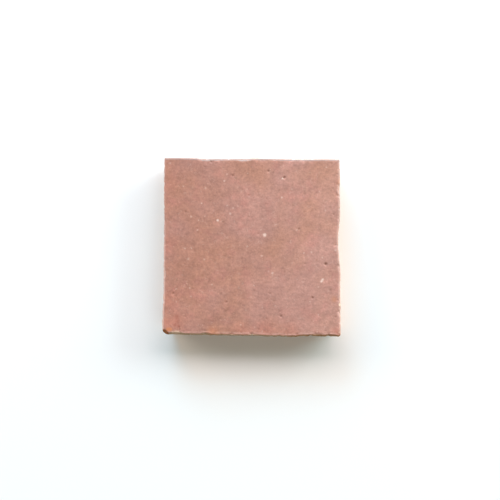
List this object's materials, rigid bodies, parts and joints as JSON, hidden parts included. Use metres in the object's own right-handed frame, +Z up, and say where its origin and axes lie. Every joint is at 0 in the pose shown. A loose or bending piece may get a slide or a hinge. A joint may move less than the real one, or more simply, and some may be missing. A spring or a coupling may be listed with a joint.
{
  "type": "zellige tile",
  "caption": "Square hand-cut tile of unglazed fired clay, with an uneven face, worn edges and chiselled sides that slope in to a flat back for bedding in mortar.",
  "frame": {"origin": "middle of the back, on the surface that the tile lies on", "axes": "+X along the near edge to the right, +Y to the far edge, +Z up out of the face"},
  "size_m": [0.1012, 0.1012, 0.012],
  "materials": {
    "fired_clay": "matte unglazed terracotta, pink to orange-brown, with pale grog specks and small pits"
  },
  "bodies": {
    "root": {"zellige_tile": "fired_clay"}
  },
  "joints": []
}
